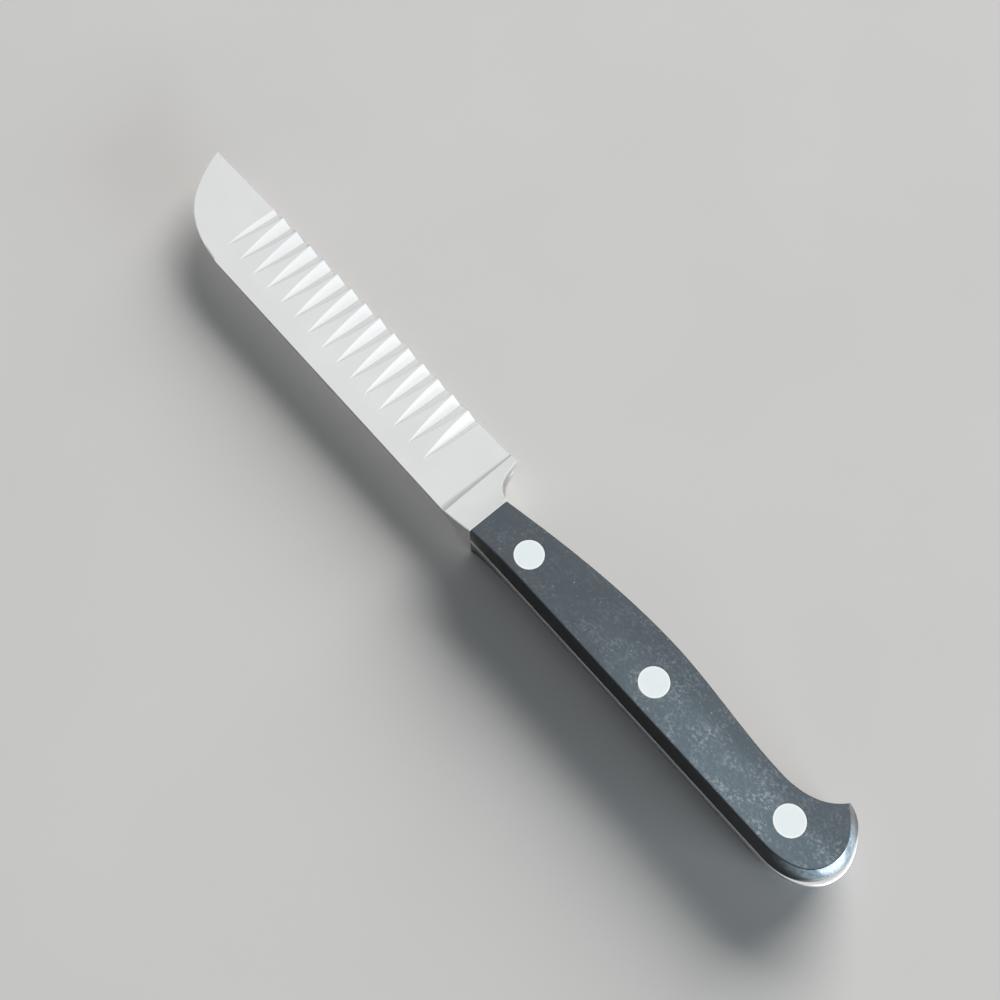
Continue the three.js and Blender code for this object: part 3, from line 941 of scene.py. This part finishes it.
class Nodes:
    """Short ways to add shader nodes to one material."""

    def __init__(self, name):
        self.material = bpy.data.materials.new(name)
        self.material.use_nodes = True
        self.tree = self.material.node_tree
        self.shader = self.tree.nodes["Principled BSDF"]

    def add(self, kind, **settings):
        node = self.tree.nodes.new(kind)
        for key, value in settings.items():
            setattr(node, key, value)
        return node

    def link(self, source, target):
        self.tree.links.new(source, target)

    def place(self, stretch):
        """Position on the object, stretched for noise with features of these sizes in mm."""
        coordinates = self.add("ShaderNodeTexCoord")
        mapping = self.add("ShaderNodeMapping")
        mapping.inputs["Scale"].default_value = [1 / (size * MM) for size in stretch]
        self.link(coordinates.outputs["Object"], mapping.inputs["Vector"])
        return mapping.outputs["Vector"]

    def noise(self, stretch, detail=2.0, rough=0.5):
        node = self.add("ShaderNodeTexNoise")
        node.inputs["Scale"].default_value = 1.0
        node.inputs["Detail"].default_value = detail
        node.inputs["Roughness"].default_value = rough
        self.link(self.place(stretch), node.inputs["Vector"])
        return node.outputs["Fac"]

    def remap(self, source, given, wanted=(0, 1), kind="LINEAR"):
        """A value carried over from one range to another, and held at its ends."""
        node = self.add("ShaderNodeMapRange", interpolation_type=kind)
        names = ("From Min", "From Max", "To Min", "To Max")
        for name, value in zip(names, (*given, *wanted)):
            node.inputs[name].default_value = value
        self.link(source, node.inputs["Value"])
        return node.outputs["Result"]

    def math(self, operation, first, second):
        node = self.add("ShaderNodeMath", operation=operation)
        for n, value in enumerate((first, second)):
            if isinstance(value, (int, float)):
                node.inputs[n].default_value = value
            else:
                self.link(value, node.inputs[n])
        return node.outputs["Value"]

    def blend(self, share, first, second):
        """Colour between two, each a tuple or another node's colour."""
        node = self.add("ShaderNodeMix", data_type="RGBA")
        self.link(share, node.inputs["Factor"])
        for value, name in ((first, 6), (second, 7)):
            if isinstance(value, tuple):
                node.inputs[name].default_value = (*value, 1)
            else:
                self.link(value, node.inputs[name])
        return node.outputs[2]

    def distance(self, axis):
        """Distance in mm along X from the seam towards the tip, or along Y from the edge to the spine."""
        coordinates = self.add("ShaderNodeTexCoord")
        parts = self.add("ShaderNodeSeparateXYZ")
        self.link(coordinates.outputs["Object"], parts.inputs["Vector"])
        start = SEAM_PLACE["XYZ".index(axis)]
        return self.math("MULTIPLY", self.math("SUBTRACT", parts.outputs[axis], start), 1 / MM)

    def tone(self):
        node = self.add("ShaderNodeAttribute", attribute_name="tone")
        return node.outputs["Fac"]

    def bump(self, height, strength, distance):
        """Fine relief from a height, with its depth in mm."""
        node = self.add("ShaderNodeBump")
        node.inputs["Strength"].default_value = strength
        node.inputs["Distance"].default_value = distance * MM
        self.link(height, node.inputs["Height"])
        self.link(node.outputs["Normal"], self.shader.inputs["Normal"])

    def set(self, **values):
        for name, value in values.items():
            self.shader.inputs[name.replace("_", " ").title()].default_value = value


def satin_steel():
    """Stainless steel with a fine cross-ground satin finish, painted shade on its walls, valleys and
    tang, a darker crease, and painted highlights along its edges.
    Tone -1 is the strongest painted highlight, 0 is ground and 1 is the darkest."""
    nodes = Nodes("satin_steel")
    lines = nodes.noise(GRIND_LINES, detail=3.0, rough=0.6)
    cloud = nodes.noise(STEEL_CLOUDS, detail=3.0)
    ground = nodes.blend(nodes.remap(cloud, CLOUD_RANGE), *STEEL_COLOURS)
    # Tones above 0 paint shade or darken the crease; tones below 0 paint highlights
    shade_and_crease = nodes.remap(nodes.tone(), (PLAIN, 1), (0, SHADE_AND_CREASE_SHARE))
    darkened = nodes.blend(shade_and_crease, ground, SHADE_AND_CREASE_COLOUR)
    colour = nodes.blend(nodes.remap(nodes.tone(), (PLAIN, PAINTED_HIGHLIGHT)), darkened, PAINTED_HIGHLIGHT_COLOUR)
    nodes.link(colour, nodes.shader.inputs["Base Color"])
    nodes.link(nodes.remap(lines, LINE_RANGE, STEEL_ROUGHNESS), nodes.shader.inputs["Roughness"])
    nodes.bump(lines, **STEEL_RELIEF)
    nodes.set(metallic=1.0)
    return nodes.material


def handle_wear(nodes):
    """How worn the handle is and how much lighter its outer face gets: most in front of the butt and
    towards the spine.
    """
    along = nodes.distance("X")
    rear = nodes.remap(along, REAR_STRETCH, kind="SMOOTHSTEP")
    butt = nodes.remap(along, BUTT_STRETCH, BUTT_WEAR, "SMOOTHSTEP")
    band = nodes.remap(nodes.distance("Y"), WORN_BAND, WORN_BAND_WEAR, "SMOOTHSTEP")
    return nodes.math("MULTIPLY", nodes.math("MULTIPLY", rear, butt), band)


def worn_face(nodes):
    """Colour of the flat outer faces: hazed, rubbed in patches and speckled."""
    wear = handle_wear(nodes)
    cloud = nodes.math("MULTIPLY", nodes.noise(HAZE_CLOUDS, detail=4.0, rough=0.6), HAZE_CLOUD_SHARE)
    haze = nodes.remap(nodes.math("ADD", cloud, wear), HAZE_RANGE)
    hazed = nodes.blend(haze, *HAZE_COLOURS)
    grain = nodes.remap(nodes.noise(RUB_GRAIN, detail=4.0, rough=0.75), RUB_GRAIN_RANGE)
    patches = nodes.remap(
        nodes.noise(RUB_PATCHES, detail=3.0, rough=0.6), RUB_PATCH_RANGE, RUB_PATCH_SHARE
    )
    rubbing = nodes.remap(wear, (0, 1), RUB_SHARE)
    rubbed = nodes.math("MULTIPLY", nodes.math("MULTIPLY", grain, patches), rubbing)
    specks = nodes.remap(nodes.noise(SPECKS, detail=1.0), SPECK_RANGE, SPECK_SHARE)
    return nodes.blend(specks, nodes.blend(rubbed, hazed, RUB_COLOUR), SPECK_COLOUR)


def worn_plastic():
    """Black moulded plastic, worn on the flat outer faces, with a pale painted reflection over scuffs on
    the butt's bevel.
    Tone -1 is the bevel's painted reflection, 0 the walls and 1 the outer faces."""
    nodes = Nodes("worn_black_plastic")
    tone = nodes.tone()
    # painted reflection over the bevel's scuffs, fading down the walls
    scuffs = nodes.remap(nodes.noise(SCUFFS, detail=5.0, rough=0.75), SCUFF_RANGE)
    bevel = nodes.blend(scuffs, *BEVEL_REFLECTION_AND_SCUFF_COLOURS)
    wall = nodes.blend(nodes.remap(tone, (PLAIN, PAINTED_HIGHLIGHT)), WALL_COLOUR, bevel)
    outer = (PLAIN, OUTER_FACE)
    colour = nodes.blend(nodes.remap(tone, outer), wall, worn_face(nodes))
    nodes.link(colour, nodes.shader.inputs["Base Color"])
    nodes.link(nodes.remap(tone, outer, PLASTIC_ROUGHNESS), nodes.shader.inputs["Roughness"])
    nodes.bump(nodes.noise(PLASTIC_GRAIN), **PLASTIC_RELIEF)
    return nodes.material


def bright_rivet():
    """Rivet metal ground flush with the scales, with fine scratches and, at tone 1, a painted highlight
    as a bright ring along the rim.
    """
    nodes = Nodes("bright_rivet_metal")
    lines = nodes.noise(RIVET_SCRATCHES, detail=3.0, rough=0.6)
    cloud = nodes.noise(RIVET_CLOUDS)
    face = nodes.blend(nodes.remap(cloud, CLOUD_RANGE), *RIVET_COLOURS)
    colour = nodes.blend(nodes.tone(), face, RIVET_HIGHLIGHT_COLOUR)
    nodes.link(colour, nodes.shader.inputs["Base Color"])
    nodes.link(nodes.remap(lines, LINE_RANGE, RIVET_ROUGHNESS), nodes.shader.inputs["Roughness"])
    nodes.bump(lines, **RIVET_RELIEF)
    nodes.set(metallic=1.0)
    return nodes.material


# Stage

CAMERA_PLACE = Vector((-0.0798, 0.0632, 0.24895))
CAMERA_RIGHT = Vector((-0.6562, -0.7546, 0.0))
CAMERA_UP = Vector((0.7001, -0.6088, 0.3729))
CAMERA_LENS = 43.4
CAMERA_SENSOR = 36.0
CAMERA_RANGE = (0.01, 50.0)
FLOOR_SIZE = 2.0
FILL = 0.06
FILL_COLOUR = (0.94, 0.97, 1.0)
BACKDROP = 0.89
BACKDROP_COLOUR = (0.985, 0.995, 1.0)


def camera():
    data = bpy.data.cameras.new("camera")
    data.sensor_width = CAMERA_SENSOR
    data.lens = CAMERA_LENS
    data.clip_start, data.clip_end = CAMERA_RANGE
    view = bpy.data.objects.new("camera", data)
    back = CAMERA_RIGHT.cross(CAMERA_UP)
    turn = Matrix((CAMERA_RIGHT, CAMERA_UP, back)).transposed()
    view.matrix_world = Matrix.Translation(CAMERA_PLACE) @ turn.to_4x4()
    bpy.context.scene.collection.objects.link(view)
    bpy.context.scene.camera = view


def lamp(name, place, width, height, radiance, colour, mirrored):
    """Soft oblong lamp that faces the knife, and shows in reflections or not. Its power is its radiance
    times four times its area."""
    data = bpy.data.lights.new(name, "AREA")
    data.shape = "RECTANGLE"
    data.size = width
    data.size_y = height
    data.energy = 4 * radiance * width * height
    data.color = colour
    light = bpy.data.objects.new(name, data)
    light.location = place
    light.visible_glossy = mirrored
    light.rotation_mode = "QUATERNION"
    light.rotation_quaternion = (-Vector(place)).to_track_quat("-Z", "Y")
    bpy.context.scene.collection.objects.link(light)


def floor():
    nodes = Nodes("pale_floor")
    colour = nodes.blend(nodes.remap(nodes.noise(FLOOR_CLOUDS), CLOUD_RANGE), *FLOOR_COLOURS)
    nodes.link(colour, nodes.shader.inputs["Base Color"])
    nodes.set(roughness=FLOOR_ROUGHNESS)
    nodes.shader.inputs["Specular IOR Level"].default_value = 0.0
    half = FLOOR_SIZE / 2
    mesh = bpy.data.meshes.new("floor")
    corners = [(-half, -half, 0), (half, -half, 0), (half, half, 0), (-half, half, 0)]
    mesh.from_pydata(corners, [], [(0, 1, 2, 3)])
    mesh.materials.append(nodes.material)
    ground = bpy.data.objects.new("floor", mesh)
    bpy.context.scene.collection.objects.link(ground)


def surroundings():
    """Dim even light on the scene, with a pale backdrop for the camera and for reflections."""
    world = bpy.data.worlds.new("studio")
    world.use_nodes = True
    tree = world.node_tree
    dim = tree.nodes["Background"]
    dim.inputs["Color"].default_value = (*FILL_COLOUR, 1)
    dim.inputs["Strength"].default_value = FILL
    pale = tree.nodes.new("ShaderNodeBackground")
    pale.inputs["Color"].default_value = (*BACKDROP_COLOUR, 1)
    pale.inputs["Strength"].default_value = BACKDROP
    rays = tree.nodes.new("ShaderNodeLightPath")
    seen = rays.outputs["Is Camera Ray"]
    for name in ("Is Glossy Ray", "Is Transmission Ray"):
        either = tree.nodes.new("ShaderNodeMath")
        either.operation = "MAXIMUM"
        tree.links.new(seen, either.inputs[0])
        tree.links.new(rays.outputs[name], either.inputs[1])
        seen = either.outputs["Value"]
    choice = tree.nodes.new("ShaderNodeMixShader")
    tree.links.new(seen, choice.inputs["Fac"])
    tree.links.new(dim.outputs["Background"], choice.inputs[1])
    tree.links.new(pale.outputs["Background"], choice.inputs[2])
    tree.links.new(choice.outputs["Shader"], tree.nodes["World Output"].inputs["Surface"])
    bpy.context.scene.world = world


steel = satin_steel()
plastic = worn_plastic()
forged_blade(steel)
scale("right_handle_scale", plastic, 1, ["right_scale"])
scale("left_handle_scale", plastic, -1, ["left_scale"])
rivets(bright_rivet())

floor()
surroundings()
lamp(
    "key", place=(2.5, -6.5, 3.0), width=7.0, height=4.0,
    radiance=10.0, colour=(1.0, 0.985, 0.96), mirrored=False,
)
lamp(
    "sheen", place=(-4.75, -2.25, 5.75), width=5.0, height=4.5,
    radiance=0.22, colour=(1.0, 1.0, 1.0), mirrored=True,
)
lamp(
    "window", place=(-6.25, -0.8, 1.0), width=6.0, height=1.2,
    radiance=16.5, colour=(0.80, 0.92, 1.0), mirrored=True,
)
camera()
bpy.context.scene.view_settings.view_transform = "Standard"
